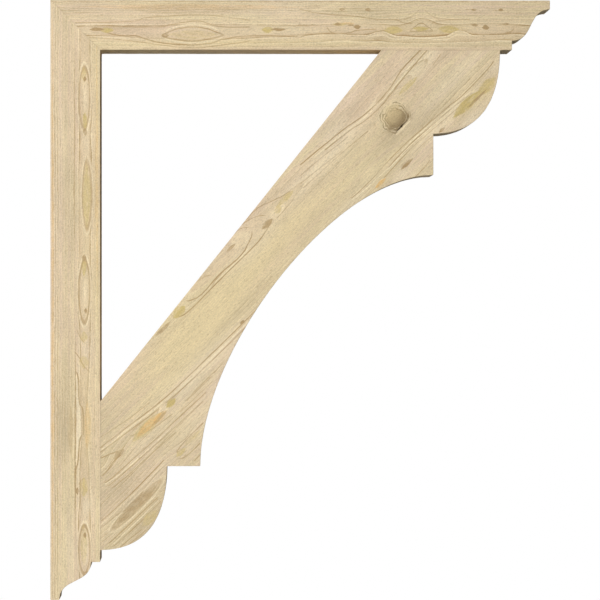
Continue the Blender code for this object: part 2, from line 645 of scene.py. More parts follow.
# %% The top arm's grain
ARM = {
    "piece": "sawn_arm",
    "node": "top_arm",
    "closing": 0.12 * MM,
    "grain_angle": radians(0),
    "pith": (300, 31),
    "pith_in_front": 35,
    "ring_width": 1.6,
    "crowding": 0.0135,
    "first_ring": 50.7,
    "seed": 11.0,
    "swellings": [
        spot(193, 35, 60, 11, -0.55),
        spot(357, 28, 30, 7, -0.4),
        spot(422, 17, 14, 12, -1.2),
        spot(487, 28, 30, 7, -0.4),
        spot(346, 39, 40, 6, 0.5),
        spot(500, 39, 40, 6, 0.5),
        spot(381, 35, 9, 5, 0.7),
        spot(460, 34, 9, 5, 0.7),
    ],
    "loops": {},
    "lines": {
        "cream": [
            drawn(0.9, 0.5, (164, 37), (173, 41), (193, 43), (207, 41.5), (222, 37.5)),
            drawn(0.9, 0.5, (166, 30.5), (180, 26), (193, 24.5), (206, 26), (219, 31)),
            drawn(
                0.8, 0.5,
                (366, 39), (382, 35), (395, 39), (419, 38),
                (445, 39.5), (459, 34.5), (470, 37),
            ),
        ],
        "brown": [
            drawn(
                0.6, 0.45,
                (75, 22.5), (100, 22.5), (136, 21), (145, 18),
                (170, 16), (200, 15), (225, 17), (250, 20.6),
            ),
            drawn(
                0.6, 0.5,
                (112, 26), (156, 27), (169, 25), (187, 22),
                (196, 21), (207, 23), (225, 27), (250, 27),
            ),
            drawn(0.6, 0.75, (106, 32.5), (125, 36), (135, 36), (145, 39), (162, 43), (191, 45)),
            drawn(0.6, 0.6, (191, 45), (206, 44), (225, 39), (250, 36), (300, 37)),
            drawn(0.5, 0.5, (89, 37.5), (110, 39), (130, 41), (162, 45), (191, 48), (215, 46), (250, 41)),
            drawn(
                0.65, 0.7,
                (162, 35.2), (170, 31.5), (180, 28.3), (193, 27),
                (205, 28.3), (215, 31.8), (224, 35.2),
            ),
            drawn(0.65, 0.7, (162, 35.2), (172, 39), (183, 40.5), (193, 41), (207, 39.3), (224, 35.2)),
            drawn(0.6, 0.5, (300, 9), (325, 14), (354, 16), (377, 19), (395, 19.5), (406, 23), (412, 23)),
            drawn(0.6, 0.45, (432, 23), (444, 20), (470, 19)),
            drawn(0.6, 0.6, (300, 37), (319, 34), (336, 34), (350, 32.5), (356, 30.6), (376, 29)),
            drawn(0.9, 0.55, (326.5, 24), (328, 29), (336, 34)),
            drawn(0.9, 0.5, (515, 25), (513, 30), (506, 33)),
            drawn(0.6, 0.65, (410, 30.8), (416, 26), (421, 23), (427, 26), (433, 30.8)),
            drawn(0.6, 0.65, (410, 31), (433, 31)),
            drawn(0.5, 0.45, (404, 20), (413, 15), (420, 9)),
            drawn(0.5, 0.45, (424, 9), (431, 15), (440, 20)),
        ],
    },
    "clearness": 0.95,
    "clear": [
        spot(193, 35, 60, 10, -0.6),
        spot(422, 38, 100, 5, 0.7),
        spot(362, 27, 18, 4, -0.9),
        spot(422, 27, 12, 5, -0.9),
        spot(487, 28, 22, 4, -0.7),
        spot(300, 31, 30, 5, -0.6),
    ],
    "tones": {
        "tan": [
            spot(385, 14, 20, 14, 0.3),
            spot(185, 8, 80, 6, 0.35),
            spot(440, 42, 70, 5, 0.3),
            spot(75, 8, 30, 6, 0.3),
        ],
        "honey": [
            spot(394, 30, 12, 4, 0.8),
            spot(449, 29, 12, 4, 0.8),
            spot(190, 44, 160, 6, 0.6),
            spot(300, 42, 120, 5, 0.6),
            spot(330, 8, 40, 5, 0.5),
            spot(440, 36, 90, 12, 0.4),
        ],
        "pale": [spot(285, 8, 50, 8, 0.5), spot(295, 31, 40, 8, 0.4), spot(86, 30, 12, 6, 0.5)],
        "rose": [
            spot(180, 10, 90, 5, 0.5),
            spot(90, 6, 30, 4, 0.4),
            spot(400, 34, 12, 3, 0.4),
            spot(480, 10, 24, 5, 0.5),
        ],
    },
    "stains_and_painted_shade": {
        "olive": [
            spot(193, 34.5, 26, 4.5, 0.25),
            spot(107, 30.5, 7, 3.0, 0.7),
            spot(268, 30, 7, 3.0, 0.7),
            spot(393.5, 30, 10, 4.0, 0.6),
            spot(449, 29, 11, 4.0, 0.6),
            spot(421.5, 28.5, 9, 2.6, 0.7),
            spot(340, 24, 8, 1.6, 0.5),
        ],
        "orange": [spot(190, 7, 120, 3, 0.2), spot(346, 23, 9, 1.4, 0.3)],
        "brown": [
            spot(97, 29.5, 8, 1.8, 0.9),
            spot(278, 29.5, 8, 1.8, 0.8),
            spot(165, 35.5, 4, 2, 0.6),
            spot(338, 24, 4, 1.2, 0.7),
            spot(351, 25, 4, 1.2, 0.7),
            spot(357, 27, 4, 2.2, 1.0),
            spot(475, 25, 4, 1.2, 0.7),
            spot(486, 27, 4, 2.2, 1.0),
            spot(506, 24, 4, 1.2, 0.7),
            spot(342, 9.5, 3, 1.4, 0.7),
            spot(368, 9.5, 3, 1.4, 0.7),
            spot(474, 9.7, 3, 1.4, 0.7),
            spot(501, 9.7, 3, 1.4, 0.7),
            spot(313, 6.5, 12, 2, 0.2),
            spot(185, 9, 70, 5, 0.15),
            spot(280, 1.2, 300, 0.7, 0.4),
        ],
    },
}
print("top arm:", len(ARM["swellings"]), "swellings")

# %% [markdown]
# The brace was sawn from a wide board with its grain at 45 degrees, a little flatter than the brace
# itself leans. A knot lies near its head, a long nest of loops is cut through by its inner edge,
# and resin shows at both rounds.

# %% The brace's grain and its knot
BRACE = {
    "piece": "sawn_brace",
    "node": "brace",
    "closing": 0.24 * MM,
    "grain_angle": radians(45),
    "pith": (273, 213),
    "pith_in_front": 22,
    "ring_width": 3.2,
    "crowding": 0.0,
    "first_ring": 50.1,
    "seed": 23.0,
    "swellings": [
        spot(217, 263, 80, 16, -1.5),
        spot(189, 442, 26, 7, -1.8),
        spot(137, 505, 40, 8, -2.4),
        spot(106, 468, 24, 9, -2.6),
        spot(473, 100, 34, 9, -1.8),
        spot(398, 168, 20, 6, -1.8),
        spot(405, 84, 22, 8, -1.5),
    ],
    "loops": {
        "brown": [
            spot(137, 504.5, 35, 4.6, 0.35),
        ],
        "cream": [spot(137, 504.5, 38, 6.4, 0.4)],
    },
    "lines": {
        "cream": [
            drawn(0.6, 0.7, (414, 60), (389, 93), (379, 104), (346, 131), (313, 158)),
            drawn(0.5, 0.8, (472, 90.5), (450, 108), (423, 130.5), (401, 151)),
            drawn(
                0.5, 0.8,
                (470, 95), (452, 110), (428, 130), (409, 147),
                (394, 163), (369, 186), (352, 200),
            ),
            drawn(0.7, 0.6, (102, 449.5), (130, 427.5), (160, 404.5), (180, 388), (240, 330), (300, 270)),
            drawn(0.6, 0.6, (105, 484), (123, 471.5), (142, 455), (172, 427)),
            drawn(0.6, 0.6, (114, 543.5), (136, 522.5), (159, 500.5)),
            drawn(0.5, 0.6, (110, 537), (134, 516), (156, 495)),
            drawn(0.5, 0.5, (99, 526), (133, 495), (165, 463)),
            drawn(0.5, 0.6, (180, 309), (200, 297), (212, 285), (232, 266), (249, 248)),
        ],
        "brown": [
            drawn(
                0.6, 0.8,
                (421, 49), (405, 66), (387, 92), (375, 105),
                (344, 129), (312, 155), (300, 165),
            ),
            drawn(0.6, 0.7, (428, 49), (410, 70), (390, 95), (377, 110), (349, 131), (325, 150)),
            drawn(0.5, 0.6, (441, 54), (433, 65)),
            drawn(0.5, 0.5, (368, 131), (350, 146), (334, 160), (303, 188)),
            drawn(
                0.5, 0.75,
                (494, 61), (468, 90), (449, 106), (421, 130),
                (397, 152), (367, 184), (350, 198),
            ),
            drawn(0.5, 0.75, (472, 93), (451, 109), (426, 130.5), (406, 148.5), (389, 167)),
            drawn(0.5, 0.75, (470, 98), (453, 112), (431, 131), (414, 146), (400, 160), (384, 178)),
            drawn(0.5, 0.6, (433, 136), (416, 151), (401, 167)),
            drawn(0.5, 0.5, (300, 176), (315, 163), (335, 147), (348, 137)),
            drawn(0.5, 0.4, (300, 184), (320, 168), (343, 150)),
            drawn(
                0.6, 0.8,
                (172, 315), (176, 317), (190, 310), (210, 290),
                (230, 270), (256, 244), (266, 231), (270.5, 222),
            ),
            drawn(0.6, 0.65, (230, 233), (244, 223), (258, 216), (265, 215.5)),
            drawn(
                0.6, 0.8,
                (184, 299), (194, 299), (202, 294), (220, 274),
                (240, 256), (248, 244), (252, 232),
            ),
            drawn(0.6, 0.65, (234, 234), (240, 229), (250, 228)),
            drawn(0.6, 0.6, (246, 220), (258, 208), (270, 202), (282, 196), (290, 191)),
            drawn(0.5, 0.5, (277, 218), (287, 207), (294, 199)),
            drawn(0.8, 0.5, (198, 281), (204, 277), (211, 275)),
            drawn(0.5, 0.5, (212, 286), (222, 273), (235, 260)),
            drawn(
                0.6, 0.75,
                (100, 448), (130, 425), (160, 402), (178, 386),
                (238, 328), (300, 266), (345, 220),
            ),
            drawn(0.6, 0.65, (100, 452.5), (131, 429.5), (162, 406), (182, 389), (241, 332), (290, 284)),
            drawn(0.5, 0.55, (101, 437), (128, 419), (150, 402)),
            drawn(0.7, 0.75, (101, 458), (108, 455), (118, 451)),
            drawn(0.7, 0.75, (102, 476), (107, 471), (114, 461), (121, 455)),
            drawn(0.6, 0.65, (104, 482), (112, 478), (122, 469), (140, 453), (170, 426), (206, 392)),
            drawn(0.5, 0.6, (108, 486), (124, 473), (143, 456), (173, 429), (203, 401)),
            drawn(0.5, 0.55, (112, 488), (127, 476), (147, 458), (176, 432)),
            drawn(0.6, 0.75, (101, 521), (133, 492), (164, 460)),
            drawn(0.5, 0.7, (109, 543), (135, 519), (158, 497)),
            drawn(0.5, 0.7, (114, 546), (138, 524), (161, 501)),
            drawn(0.5, 0.6, (120, 547), (142, 529)),
            drawn(0.5, 0.6, (127, 546), (146, 530)),
            drawn(0.5, 0.6, (194, 461), (201, 454)),
            drawn(0.6, 0.7, (177, 453), (180, 447), (190, 436), (203, 423)),
            drawn(0.6, 0.7, (177, 457), (183, 458), (192, 451), (200, 443)),
            drawn(0.6, 0.5, (130, 436), (141, 433), (152, 429), (162, 422), (172, 414)),
            drawn(0.6, 0.4, (133, 430), (146, 419), (160, 409)),
            drawn(0.5, 0.5, (187, 400), (200, 388), (212, 376)),
            drawn(0.5, 0.5, (180, 412), (197, 396), (213, 381)),
            drawn(0.5, 0.6, (410, 182), (422, 170), (430, 160)),
        ],
    },
    "clearness": 0.3,
    "clear": [
        spot(217, 263, 80, 17, -0.2),
        spot(383, 97, 95, 6, 0.5),
        spot(300, 258, 330, 6, 0.4),
        spot(152, 448, 70, 16, 0.6),
        spot(114, 462, 30, 9, 0.6),
        spot(134, 512, 70, 16, 0.6),
        spot(258, 268, 190, 12, -0.25),
        spot(450, 105, 80, 16, 0.3),
        spot(137, 505, 32, 4, -1.2),
        spot(395, 118, 22, 18, -0.6),
    ],
    "tones": {
        "tan": [
            spot(128, 490, 44, 44, 0.7),
            spot(262, 262, 100, 12, 0.25),
            spot(150, 525, 40, 12, 0.5),
            spot(104, 418, 24, 16, 0.6),
            spot(148, 510, 20, 14, 0.5),
            spot(190, 332, 50, 9, 0.55),
            spot(222, 302, 30, 9, 0.6),
            spot(218, 304, 26, 10, 0.6),
            spot(284, 226, 50, 9, 0.4),
            spot(415, 122, 30, 14, 0.7),
            spot(386, 138, 26, 10, 0.6),
            spot(362, 62, 32, 11, 0.5),
            spot(155, 420, 22, 5, 0.4),
        ],
        "honey": [
            spot(270, 246, 130, 20, 0.9),
            spot(190, 336, 80, 22, 0.9),
            spot(392, 110, 18, 13, 0.7),
            spot(474, 100, 30, 10, 0.9),
            spot(380, 184, 12, 4, 0.6),
            spot(148, 424, 24, 8, 0.5),
            spot(140, 515, 40, 8, 0.4),
        ],
        "pale": [
            spot(416, 68, 26, 10, 0.6),
            spot(452, 80, 46, 9, 0.6),
            spot(336, 132, 20, 10, 0.6),
            spot(447, 118, 40, 5, 0.8),
            spot(470, 120, 18, 6, 0.8),
            spot(497, 66, 12, 5, 0.6),
            spot(402, 175, 14, 6, 0.6),
            spot(350, 205, 30, 6, 0.5),
            spot(215, 355, 40, 10, 0.5),
            spot(150, 436, 36, 8, 0.4),
            spot(187, 386, 18, 7, 0.5),
            spot(195, 430, 30, 8, 0.3),
            spot(250, 250, 36, 10, 0.4),
            spot(318, 168, 60, 12, 0.5),
        ],
        "rose": [
            spot(330, 112, 60, 9, 0.6),
            spot(215, 247, 40, 8, 0.5),
            spot(244, 354, 50, 8, 0.6),
            spot(210, 396, 40, 8, 0.5),
            spot(160, 470, 46, 10, 0.4),
            spot(430, 150, 30, 8, 0.4),
            spot(355, 95, 20, 6, 0.4),
        ],
    },
    "stains_and_painted_shade": {
        "cream": [
            spot(240, 240, 12, 8, 0.4),
            spot(277, 212, 12, 4, 0.5),
            spot(403.4, 127.6, 12, 0.9, 0.9),
            spot(440, 125, 60, 7, 0.3),
            spot(164, 408, 8, 4, 0.6),
        ],
        "olive": [
            spot(467, 104, 20, 5.6, 0.75),
            spot(487, 86, 13, 6, 0.55),
            spot(147, 427, 22, 6, 0.4),
            spot(181, 452, 7, 3, 0.5),
            spot(285, 199, 13, 3, 0.5),
            spot(278, 210, 5, 3, 0.4),
            spot(179, 312, 9, 5, 0.7),
            spot(171, 403, 7, 3.5, 0.8),
            spot(150, 518, 12, 5, 0.35),
            spot(408, 86, 14, 3, 0.4),
            spot(192, 438, 12, 2.5, 0.3),
        ],
        "orange": [spot(149, 425, 18, 4.2, 0.5), spot(160, 417, 10, 3.4, 0.35), spot(381, 183, 8, 2.4, 0.7)],
        "brown": [
            spot(137, 504.5, 34, 4.6, 0.5),
            spot(267.5, 224, 8, 3.2, 0.55),
            spot(231, 248, 7, 1.6, 0.6),
            spot(242, 322, 3, 1.4, 0.8),
            spot(442, 130, 4, 1.6, 0.8),
            spot(478, 98, 15, 1.3, 0.6),
            spot(119, 454, 8, 3.0, 0.5),
            spot(163, 329, 11, 2, 0.5),
            spot(407, 164, 9, 1.6, 0.7),
            spot(159, 419, 13, 1.6, 0.45),
            spot(205, 381, 32, 0.8, 0.4),
        ],
        # The crack: these spots cut its groove and also paint it almost black, which is painted shade inside
        # the groove.
        "crack": [spot(402, 126, 11, 0.8, 0.75), spot(401.5, 126.4, 3.2, 0.8, 0.6)],
    },
    "knot_shade": [
        spot(406, 115.5, 5, 4, 0.75),
        spot(391, 128.5, 5, 4, 0.7),
        spot(400.5, 125, 11, 3, 0.7),
        spot(397, 121, 14, 6, 0.25),
        spot(388, 97, 12, 3, 0.15),
    ],
}

# Fibres part round the knot, which is a disc that the crack cuts off straight on its lower side.
KNOT = {"at": (395.3, 117.8), "radius": 14.2, "crack_side": 10.6, "ring_width": 2.6, "lean": 0.12}
CRACK_DEPTH = 0.8
KNOT_GROOVE_DEPTH = 0.3
BOARDS = (LEG, ARM, BRACE)
print("boards:", [board["piece"] for board in BOARDS])

# %% [markdown]
# The tree below is a modifier on each board. It works out the ring number of every point and stores
# it for the paint to read. It then lowers the surface a little between the brown lines, in the saw
# marks, round the knot and in the crack across it, always inwards, so that the board stays the size
# that was measured.

# %% The board's axes and the knot's pull
TREE_SIZES = {
    "Grain angle": "NodeSocketFloat",
    "Pith across": "NodeSocketFloat",
    "Pith in front": "NodeSocketFloat",
    "Ring width": "NodeSocketFloat",
    "Ring crowding": "NodeSocketFloat",
    "First ring": "NodeSocketFloat",
    "Springwood wear": "NodeSocketFloat",
    "Saw mark depth": "NodeSocketFloat",
    "Fuzz depth": "NodeSocketFloat",
    "Seed": "NodeSocketFloat",
    "Finish": "NodeSocketMaterial",
}


# Half the thickness of a loop's line, and how deep each kind of mark reaches into the board, in millimetres
LOOP_LINE = 0.75
SWELLING_REACH = 45.0
CRACK_REACH = 30.0
CLEAR_REACH = 400.0
PAINT_REACH = 60.0


def spot_values(entry, grain_angle, place, reach):
    """What a spot's node group is given, in the order of its inputs."""
    along, across = along_and_across(from_photo(*entry["at"]) / MM, grain_angle)
    half_width = entry["half_width"]
    sizes = (entry["half_length"], half_width, LOOP_LINE / half_width, reach, entry["height"])
    return (*place, along, across, *sizes)


def add_spots(tree, groups, spots, grain_angle, place, reach):
    """The sum of a swelling or patch over a board's placed spots."""
    total = 0.0
    for entry in spots:
        node = add_node(tree, tree.bl_idname.replace("Tree", "Group"), node_tree=groups[tree.bl_idname])
        for label, value in zip(SPOT_INPUTS, spot_values(entry, grain_angle, place, reach)):
            feed(tree, node.inputs[label], value)
        total = calc(tree, "ADD", total, node.outputs["Value"])
    return total


def board_place(tree, grain_angle):
    """Every point's place along the grain, across it and deep into the board, in millimetres."""
    position = add_node(tree, "GeometryNodeInputPosition").outputs["Position"]
    scaling = add_node(tree, "ShaderNodeVectorMath", {0: position, 3: 1 / MM}, operation="SCALE")
    scaled = scaling.outputs["Vector"]
    parts = add_node(tree, "ShaderNodeSeparateXYZ", {"Vector": scaled}).outputs
    cosine = calc(tree, "COSINE", grain_angle)
    sine = calc(tree, "SINE", grain_angle)
    out_along = calc(tree, "MULTIPLY", parts["X"], cosine)
    up_along = calc(tree, "MULTIPLY", parts["Z"], sine)
    along = calc(tree, "ADD", out_along, up_along)
    out_across = calc(tree, "MULTIPLY", parts["X"], sine)
    up_across = calc(tree, "MULTIPLY", parts["Z"], cosine)
    across = calc(tree, "SUBTRACT", out_across, up_across)
    deep = calc(tree, "ADD", parts["Y"], BRACKET_WIDTH / 2 / MM)
    return along, across, deep


def knot_distance(tree, along, across, deep):
    """How far each point is from the knot's middle, as a share of its size, and how far across the grain."""
    centre_along, centre_across = along_and_across(from_photo(*KNOT["at"]), BRACE["grain_angle"])
    leaning = calc(tree, "MULTIPLY_ADD", deep, KNOT["lean"], centre_along / MM)
    off_along = calc(tree, "SUBTRACT", along, leaning)
    off_across = calc(tree, "SUBTRACT", across, centre_across / MM)
    distance = calc(tree, "SQRT", sum_of_squares(tree, off_along, off_across))
    return calc(tree, "DIVIDE", distance, KNOT["radius"]), off_across


def knot_edge(tree, distance, off_across):
    """The same share, but reaching 1 at the straight crack as well as at the rim."""
    return calc(tree, "MAXIMUM", distance, calc(tree, "DIVIDE", off_across, KNOT["crack_side"]))


def bent_round_knot(tree, across, distance, off_across):
    """The place across the grain once the fibres have parted round the knot, as water parts round a stone."""
    square = squared(tree, distance)
    grip = calc(tree, "DIVIDE", 1.0, calc(tree, "MAXIMUM", square, 1.0))
    fade = calc(tree, "EXPONENT", calc(tree, "MULTIPLY", square, -0.09))
    pull = calc(tree, "MULTIPLY", calc(tree, "MULTIPLY", grip, fade), off_across)
    return calc(tree, "SUBTRACT", across, pull)


# %% [markdown]
# The ring number is the distance from the pith divided by a ring's width, plus the swellings. Slow
# noise lets the lines wander as they do in a real trunk. Inside the knot, which was a branch, the
# rings run round its own middle.

# %% Rings and relief
def centred(tree, value, width):
    """Noise spread evenly to both sides of 0."""
    return calc(tree, "MULTIPLY", calc(tree, "SUBTRACT", value, 0.5), width)


def ring_number(tree, board, given, place, across):
    """How many rings out from the pith each point lies."""
    along, _, deep = place
    drift = vector(tree, calc(tree, "MULTIPLY_ADD", along, 0.25, given["Seed"]), across, deep)
    wander = centred(tree, noise(tree, drift, 0.03, 1.0), 3.5)
    ripple = centred(tree, noise(tree, drift, 0.16, 2.0), 2.4)
    shiver = centred(tree, noise(tree, drift, 0.5, 1.0), 0.9)
    bent = calc(tree, "ADD", calc(tree, "ADD", calc(tree, "ADD", across, wander), ripple), shiver)
    off_side = calc(tree, "SUBTRACT", bent, given["Pith across"])
    off_front = calc(tree, "ADD", deep, given["Pith in front"])
    radius = calc(tree, "SQRT", calc(tree, "ADD", squared(tree, off_side), squared(tree, off_front)))
    outward = calc(tree, "SUBTRACT", radius, given["Pith in front"])
    rings = calc(tree, "ADD", calc(tree, "DIVIDE", outward, given["Ring width"]), given["First ring"])
    rings = calc(tree, "ADD", rings, calc(tree, "MULTIPLY", squared(tree, outward), given["Ring crowding"]))
    bent_place = (along, bent, deep)
    swollen = add_spots(tree, SWELLING, board["swellings"], board["grain_angle"], bent_place, SWELLING_REACH)
    return calc(tree, "ADD", rings, swollen)


def summer_share(tree, rings):
    """How much of the brown summer wood each point has: it builds up through a ring and stops at its end."""
    share = calc(tree, "FRACT", rings)
    return calc(tree, "SUBTRACT", ramp(tree, share, 0.5, 0.88), ramp(tree, share, 0.93, 1.0))


def sawn_depth(tree, given, place, rings):
    """How far the surface lies below the board's full size, in millimetres."""
    along, across, deep = place
    spring = calc(tree, "SUBTRACT", 1.0, summer_share(tree, rings))
    worn = calc(tree, "MULTIPLY", spring, given["Springwood wear"])
    blade = vector(tree, along, calc(tree, "MULTIPLY", across, 0.12), calc(tree, "MULTIPLY", deep, 0.12))
    marks = calc(tree, "MULTIPLY", noise(tree, blade, 0.35, 1.0), given["Saw mark depth"])
    fibres = vector(tree, calc(tree, "MULTIPLY", along, 0.3), across, deep)
    fuzz = calc(tree, "MULTIPLY", noise(tree, fibres, 0.8, 2.0), given["Fuzz depth"])
    return calc(tree, "ADD", calc(tree, "ADD", worn, marks), fuzz)


def store(tree, geometry, name, value):
    """Stores a number on every point of the board."""
    feeds = {"Geometry": geometry, "Name": name, "Value": value}
    node = add_node(tree, "GeometryNodeStoreNamedAttribute", feeds, data_type="FLOAT", domain="POINT")
    return node.outputs["Geometry"]


def growth_tree(board):
    """Geometry nodes that give one board its rings and its relief. Lengths inside are in millimetres."""
    tree = bpy.data.node_groups.new(board["piece"] + "_growth", "GeometryNodeTree")
    tree.interface.new_socket("Board", in_out="INPUT", socket_type="NodeSocketGeometry")
    for label, kind in TREE_SIZES.items():
        tree.interface.new_socket(label, in_out="INPUT", socket_type=kind)
    tree.interface.new_socket("Board", in_out="OUTPUT", socket_type="NodeSocketGeometry")
    given = tree.nodes.new("NodeGroupInput").outputs
    result = tree.nodes.new("NodeGroupOutput")
    geometry = given["Board"]

    place = board_place(tree, given["Grain angle"])
    along, across, deep = place
    if board is BRACE:
        distance, off_across = knot_distance(tree, *place)
        across = bent_round_knot(tree, across, distance, off_across)
        rings = ring_number(tree, board, given, place, across)
        edge = knot_edge(tree, distance, off_across)
        groove_share = calc(tree, "DIVIDE", calc(tree, "SUBTRACT", edge, 1.0), 0.08)
        groove = calc(tree, "EXPONENT", calc(tree, "MULTIPLY", squared(tree, groove_share), -1.0))
        groove = calc(tree, "MULTIPLY", groove, KNOT_GROOVE_DEPTH)
        crack = add_spots(tree, PATCH, board["stains_and_painted_shade"]["crack"], board["grain_angle"], place, CRACK_REACH)
        extra = calc(tree, "ADD", groove, calc(tree, "MULTIPLY", crack, CRACK_DEPTH))
        depth = calc(tree, "ADD", sawn_depth(tree, given, place, rings), extra)
    else:
        rings = ring_number(tree, board, given, place, across)
        depth = sawn_depth(tree, given, place, rings)
    geometry = store(tree, geometry, "rings", rings)

    named = add_node(tree, "GeometryNodeInputNamedAttribute", {"Name": "relief_room"}, data_type="FLOAT")
    depth = calc(tree, "MULTIPLY", depth, named.outputs["Attribute"])
    normal = add_node(tree, "GeometryNodeInputNormal").outputs["Normal"]
    inward = calc(tree, "MULTIPLY", depth, -MM)
    offset = add_node(tree, "ShaderNodeVectorMath", {0: normal, 3: inward}, operation="SCALE")
    feeds = {"Geometry": geometry, "Offset": offset.outputs["Vector"]}
    moved = add_node(tree, "GeometryNodeSetPosition", feeds).outputs["Geometry"]
    real = add_node(tree, "GeometryNodeRealizeInstances", {"Geometry": moved}).outputs["Geometry"]
    painted = add_node(tree, "GeometryNodeSetMaterial", {"Geometry": real, "Material": given["Finish"]})
    feed(tree, result.inputs["Board"], painted.outputs["Geometry"])
    return tree


# %% [markdown]
# Bare fir is matt and uneven: pale straw with pinker and greyer stretches, brown summer lines that
# fade in and out, and a fine speckle where the saw tore the fibres. The paint reads the stored
# rings, lays the stains and the crack's painted shade on as patches, and takes everything finer
# from noise that is stretched along the grain. On a sawn end the same noise shows the cut ends of
# the fibres, because it isn't stretched across them.

# %% Colours of the fir
STRAW = (0.76, 0.63, 0.39, 1.0)
PINK_STRAW = (0.74, 0.58, 0.40, 1.0)
GREY_STRAW = (0.60, 0.49, 0.32, 1.0)
SPRING_CREAM = (0.92, 0.79, 0.54, 1.0)
SUMMER_BROWN = (0.44, 0.29, 0.13, 1.0)
PORE_BROWN = (0.48, 0.34, 0.19, 1.0)
KNOT_BROWN = (0.34, 0.25, 0.14, 1.0)
KNOT_OLIVE = (0.63, 0.49, 0.27, 1.0)
KNOT_LINE = (0.27, 0.19, 0.09, 1.0)
TONE_COLOURS = {
    "tan": (0.58, 0.47, 0.30, 1.0),
    "honey": (0.77, 0.63, 0.37, 1.0),
    "pale": (0.86, 0.73, 0.51, 1.0),
    "rose": (0.78, 0.62, 0.46, 1.0),
}
LINE_COLOURS = {"cream": SPRING_CREAM, "brown": SUMMER_BROWN}
STAIN_AND_PAINTED_SHADE_COLOURS = {
    "cream": (0.88, 0.73, 0.48, 1.0),
    "olive": (0.64, 0.50, 0.21, 1.0),
    "orange": (0.76, 0.50, 0.21, 1.0),
    "brown": (0.46, 0.32, 0.16, 1.0),
    # Painted shade: the crack is painted almost black, for the shade inside its groove.
    "crack": (0.05, 0.03, 0.015, 1.0),
}


def mixed(tree, share, first, second):
    """One colour turning into another as share goes from 0 to 1."""
    node = add_node(tree, "ShaderNodeMix", {"Factor": share, 6: first, 7: second}, data_type="RGBA")
    return node.outputs[2]


def stored(tree, name):
    """A number that the growth tree stored on the board."""
    return add_node(tree, "ShaderNodeAttribute", attribute_name=name).outputs["Fac"]


def paint_place(tree, board):
    """The same place along, across and deep as in the growth tree, read from the object's coordinates."""
    coordinates = add_node(tree, "ShaderNodeTexCoord").outputs["Object"]
    feeds = {
        "Vector": coordinates,
        "Location": (0.0, BRACKET_WIDTH / 2 / MM, 0.0),
        "Rotation": (0.0, board["grain_angle"], 0.0),
        "Scale": (1 / MM, 1 / MM, 1 / MM),
    }
    turned = add_node(tree, "ShaderNodeMapping", feeds, vector_type="POINT").outputs["Vector"]
    parts = add_node(tree, "ShaderNodeSeparateXYZ", {"Vector": turned}).outputs
    return parts["X"], calc(tree, "MULTIPLY", parts["Z"], -1.0), parts["Y"]


# %% [markdown]
# The summer lines are strongest where the photograph shows them clearly. Their strength and their
# hue change from ring to ring, and they fade and break along the grain, so no two lines look alike.
# Fainter lines run between them.

# %% The summer lines
def ring_luck(tree, rings, offset):
    """A number from 0 to 1 that stays the same through one ring and differs from ring to ring."""
    index = calc(tree, "ADD", calc(tree, "FLOOR", rings), offset)
    return add_node(tree, "ShaderNodeTexWhiteNoise", {"W": index}, noise_dimensions="1D").outputs["Value"]


def ring_line(tree, rings, sharpness, shadow):
    """A line at the end of each ring, with a soft shadow that builds up to it."""
    share = calc(tree, "FRACT", rings)
    slow = calc(tree, "MULTIPLY", calc(tree, "POWER", share, 2.5), shadow)
    total = calc(tree, "MAXIMUM", calc(tree, "POWER", share, sharpness), slow)
    return calc(tree, "MULTIPLY", total, ramp(tree, share, 1.0, 0.96))


def clearness_of(tree, board, place):
    """How clearly the rings show at each point."""
    mapped = add_spots(tree, SWELLING, board["clear"], board["grain_angle"], place, CLEAR_REACH)
    return calc(tree, "MAXIMUM", calc(tree, "ADD", mapped, board["clearness"]), 0.0)


def line_strength(tree, rings, clear, stretched):
    """How strongly the summer lines show at each point, from 0 to 1."""
    fade = ramp(tree, noise(tree, stretched(0.2), 0.05, 2.0), 0.35, 0.65, 0.5, 1.1)
    broken = ramp(tree, noise(tree, stretched(0.2), 0.45, 1.0), 0.35, 0.6, 0.55, 1.15)
    luck = calc(tree, "MULTIPLY_ADD", ring_luck(tree, rings, 0.0), 1.4, 0.6)
    main = calc(tree, "MULTIPLY", luck, ring_line(tree, rings, 8.0, 0.35))
    finer = calc(tree, "MULTIPLY_ADD", rings, 2.0, 0.4)
    finer_luck = calc(tree, "MULTIPLY", ring_luck(tree, finer, 0.3), 0.55)
    between = calc(tree, "MULTIPLY", finer_luck, ring_line(tree, finer, 5.0, 0.3))
    lines = calc(tree, "MULTIPLY", calc(tree, "MAXIMUM", main, between), clear)
    return calc(tree, "MULTIPLY", calc(tree, "MULTIPLY", lines, fade), broken, clamp=True)


# %% [markdown]
# The strongest single lines are drawn one by one. A curve node turns the place along the grain into
# the line's place across it, and the line shows where a point is within its half width of that. It
# fades at both of its ends.

# %% Drawn lines
LINE_FADE = 1.2


def drawn_line(tree, entry, place, grain_angle):
    """How strongly one drawn line shows at each point."""
    along, across, deep = place
    turned = sorted(along_and_across(from_photo(*point) / MM, grain_angle) for point in entry["through"])
    (first, _), (last, _) = turned[0], turned[-1]
    lowest = min(level for _, level in turned)
    height = max(level for _, level in turned) - lowest + 1.0
    curve = add_node(tree, "ShaderNodeFloatCurve", {"Value": linear(tree, along, first, last)})
    knots = curve.mapping.curves[0].points
    for _ in turned[2:]:
        knots.new(0.5, 0.5)
    for knot, (position, level) in zip(knots, turned):
        knot.location = ((position - first) / (last - first), (level - lowest) / height)
    curve.mapping.update()

    level = calc(tree, "MULTIPLY_ADD", curve.outputs["Value"], height, lowest)
    off_line = calc(tree, "ABSOLUTE", calc(tree, "SUBTRACT", across, level))
    shown = ramp(tree, off_line, 1.25 * entry["half_width"], 0.5 * entry["half_width"])
    starts = ramp(tree, along, first - LINE_FADE, first + LINE_FADE)
    ends = ramp(tree, along, last + LINE_FADE, last - LINE_FADE)
    shallow = ramp(tree, deep, 40.0, 10.0, 0.0, entry["height"])
    started = calc(tree, "MULTIPLY", shown, starts)
    return calc(tree, "MULTIPLY", started, calc(tree, "MULTIPLY", ends, shallow))


